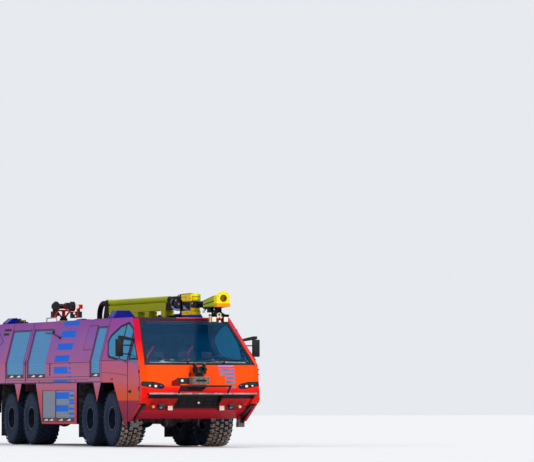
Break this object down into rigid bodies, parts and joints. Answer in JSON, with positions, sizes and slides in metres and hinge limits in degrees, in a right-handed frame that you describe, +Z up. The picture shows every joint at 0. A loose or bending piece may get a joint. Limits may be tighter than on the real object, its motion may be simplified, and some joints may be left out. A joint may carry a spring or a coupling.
{
  "type": "airport fire truck",
  "caption": "Eight-wheeled airport fire truck with steered front axles, crew cab with two doors, front turret, roof monitor and telescopic roof boom with tilting nozzle.",
  "frame": {"origin": "on the ground under the middle of the truck's overall length and of its body's width", "axes": "+X forward, +Y to the truck's left, +Z up"},
  "size_m": [12.2999, 3.68, 3.7303],
  "materials": {
    "chassis_paint": "satin",
    "axle_paint": "rough cast, painted",
    "tyre": "moulded, dusty",
    "rim_paint": "satin",
    "engine_paint": "painted",
    "body_paint": "glossy clear coat",
    "shutter": "satin anodised slats",
    "locker_paint": "glossy clear coat",
    "black_plastic": "textured",
    "mud_rubber": "matt",
    "cab_paint": "glossy clear coat",
    "front_paint": "glossy clear coat",
    "bumper_paint": "glossy clear coat",
    "guard_paint": "satin",
    "window_glass": "tinted",
    "seat_fabric": "woven",
    "lamp_lens": "clear lens",
    "beacon_lens": "blue lens",
    "roof_paint": "satin",
    "mechanism_paint": "satin",
    "boom_lime": "glossy",
    "boom_yellow": "glossy",
    "cylinder_rod": "hard chrome",
    "turret_paint": "satin",
    "monitor_paint": "glossy"
  },
  "bodies": {
    "truck": {"chassis_frame": "chassis_paint", "body_bearers": "chassis_paint", "axle_1": "axle_paint", "axle_2": "axle_paint", "axle_3": "axle_paint", "axle_4": "axle_paint", "engine_block": "engine_paint", "drive_line": "axle_paint", "body_tank": "body_paint", "body_rear": "body_paint", "side_shutters": "shutter", "lower_lockers": "locker_paint", "rear_grille": "black_plastic", "mud_flaps": "mud_rubber", "cab_shell": "cab_paint", "cab_front": "front_paint", "bumper": "bumper_paint", "front_guard": "guard_paint", "cab_glass": "window_glass", "seats": "seat_fabric", "dashboard": "black_plastic", "lamps": "lamp_lens", "beacons": "beacon_lens", "roof_fittings": "roof_paint"},
    "knuckle_1_left": {"knuckle_1_left": "axle_paint"},
    "knuckle_1_right": {"knuckle_1_right": "axle_paint"},
    "knuckle_2_left": {"knuckle_2_left": "axle_paint"},
    "knuckle_2_right": {"knuckle_2_right": "axle_paint"},
    "wheel_1_left": {"tyre_1_left": "tyre", "rim_1_left": "rim_paint"},
    "wheel_1_right": {"tyre_1_right": "tyre", "rim_1_right": "rim_paint"},
    "wheel_2_left": {"tyre_2_left": "tyre", "rim_2_left": "rim_paint"},
    "wheel_2_right": {"tyre_2_right": "tyre", "rim_2_right": "rim_paint"},
    "wheel_3_left": {"tyre_3_left": "tyre", "rim_3_left": "rim_paint"},
    "wheel_3_right": {"tyre_3_right": "tyre", "rim_3_right": "rim_paint"},
    "wheel_4_left": {"tyre_4_left": "tyre", "rim_4_left": "rim_paint"},
    "wheel_4_right": {"tyre_4_right": "tyre", "rim_4_right": "rim_paint"},
    "door_left": {"door_left": "cab_paint", "door_glass_left": "window_glass", "mirror_left": "black_plastic"},
    "door_right": {"door_right": "cab_paint", "door_glass_right": "window_glass", "mirror_right": "black_plastic"},
    "boom_turntable": {"boom_turntable": "mechanism_paint"},
    "boom_outer": {"boom_outer": "boom_lime"},
    "boom_inner": {"boom_inner": "boom_yellow"},
    "boom_nozzle": {"boom_nozzle": "boom_yellow"},
    "lift_barrel": {"lift_barrel": "mechanism_paint"},
    "lift_rod": {"lift_rod": "cylinder_rod"},
    "turret_arm": {"turret_arm": "turret_paint"},
    "turret_nozzle": {"turret_nozzle": "mechanism_paint"},
    "monitor_arm": {"monitor_arm": "monitor_paint"},
    "monitor_nozzle": {"monitor_nozzle": "mechanism_paint"}
  },
  "joints": [
    {"name": "steer_1_left", "type": "hinge", "parent": "truck", "child": "knuckle_1_left", "pos_m": [3.45, 1, 0.685], "axis": [0, 0, 1], "range_deg": [-28, 28]},
    {"name": "steer_1_right", "type": "hinge", "parent": "truck", "child": "knuckle_1_right", "pos_m": [3.45, -1, 0.685], "axis": [0, 0, 1], "range_deg": [-28, 28]},
    {"name": "steer_2_left", "type": "hinge", "parent": "truck", "child": "knuckle_2_left", "pos_m": [1.8, 1, 0.685], "axis": [0, 0, 1], "range_deg": [-20, 20]},
    {"name": "steer_2_right", "type": "hinge", "parent": "truck", "child": "knuckle_2_right", "pos_m": [1.8, -1, 0.685], "axis": [0, 0, 1], "range_deg": [-20, 20]},
    {"name": "wheel_1_left", "type": "hinge", "parent": "knuckle_1_left", "child": "wheel_1_left", "pos_m": [3.45, 1.161, 0.685], "axis": [0, 1, 0], "continuous": true},
    {"name": "wheel_1_right", "type": "hinge", "parent": "knuckle_1_right", "child": "wheel_1_right", "pos_m": [3.45, -1.161, 0.685], "axis": [0, 1, 0], "continuous": true},
    {"name": "wheel_2_left", "type": "hinge", "parent": "knuckle_2_left", "child": "wheel_2_left", "pos_m": [1.8, 1.161, 0.685], "axis": [0, 1, 0], "continuous": true},
    {"name": "wheel_2_right", "type": "hinge", "parent": "knuckle_2_right", "child": "wheel_2_right", "pos_m": [1.8, -1.161, 0.685], "axis": [0, 1, 0], "continuous": true},
    {"name": "wheel_3_left", "type": "hinge", "parent": "truck", "child": "wheel_3_left", "pos_m": [-2.85, 1.161, 0.685], "axis": [0, 1, 0], "continuous": true},
    {"name": "wheel_3_right", "type": "hinge", "parent": "truck", "child": "wheel_3_right", "pos_m": [-2.85, -1.161, 0.685], "axis": [0, 1, 0], "continuous": true},
    {"name": "wheel_4_left", "type": "hinge", "parent": "truck", "child": "wheel_4_left", "pos_m": [-4.5, 1.161, 0.685], "axis": [0, 1, 0], "continuous": true},
    {"name": "wheel_4_right", "type": "hinge", "parent": "truck", "child": "wheel_4_right", "pos_m": [-4.5, -1.161, 0.685], "axis": [0, 1, 0], "continuous": true},
    {"name": "door_left", "type": "hinge", "parent": "truck", "child": "door_left", "pos_m": [5.588, 1.516, 1.6], "axis": [0, 0, -1], "range_deg": [0, 75]},
    {"name": "door_right", "type": "hinge", "parent": "truck", "child": "door_right", "pos_m": [5.588, -1.516, 1.6], "axis": [0, 0, 1], "range_deg": [0, 75]},
    {"name": "boom_slew", "type": "hinge", "parent": "truck", "child": "boom_turntable", "pos_m": [-2.9, 0.6, 3.16], "axis": [0, 0, 1], "range_deg": [-30, 30]},
    {"name": "boom_lift", "type": "hinge", "parent": "boom_turntable", "child": "boom_outer", "pos_m": [-2.6, 0.6, 3.62], "axis": [0, -1, 0], "range_deg": [0, 50]},
    {"name": "boom_extend", "type": "slide", "parent": "boom_outer", "child": "boom_inner", "axis": [1, 0, 0], "range_m": [0, 3]},
    {"name": "boom_nozzle_tilt", "type": "hinge", "parent": "boom_inner", "child": "boom_nozzle", "pos_m": [4.2, 0.6, 3.45], "axis": [0, -1, 0], "range_deg": [-15, 35]},
    {"name": "lift_barrel_pivot", "type": "hinge", "parent": "boom_turntable", "child": "lift_barrel", "pos_m": [-2.3, 0.6, 3.2403], "axis": [0, -1, 0], "range_deg": [-1, 54]},
    {"name": "lift_rod_slide", "type": "slide", "parent": "lift_barrel", "child": "lift_rod", "axis": [0.9987, 0, 0.0518], "range_m": [-0.005, 0.42]},
    {"name": "turret_swivel", "type": "hinge", "parent": "truck", "child": "turret_arm", "pos_m": [5.925, -0.09, 1.7], "axis": [0, 0, 1], "range_deg": [-45, 45]},
    {"name": "turret_tilt", "type": "hinge", "parent": "turret_arm", "child": "turret_nozzle", "pos_m": [5.925, -0.09, 1.86], "axis": [0, -1, 0], "range_deg": [-15, 45]},
    {"name": "monitor_swivel", "type": "hinge", "parent": "truck", "child": "monitor_arm", "pos_m": [-3.55, -0.34, 3.2], "axis": [0, 0, 1], "range_deg": [-60, 60]},
    {"name": "monitor_tilt", "type": "hinge", "parent": "monitor_arm", "child": "monitor_nozzle", "pos_m": [-3.55, -0.34, 3.55], "axis": [0, -1, 0], "range_deg": [-10, 60]}
  ],
  "couplings": [
    {"joint": "steer_1_right", "follows": "steer_1_left", "ratio": 1},
    {"joint": "steer_2_left", "follows": "steer_1_left", "ratio": 0.7},
    {"joint": "steer_2_right", "follows": "steer_1_left", "ratio": 0.7},
    {"joint": "lift_barrel_pivot", "follows": "boom_lift", "ratio": 1.0541},
    {"joint": "lift_rod_slide", "follows": "boom_lift", "m_per_rad": 0.4631}
  ]
}
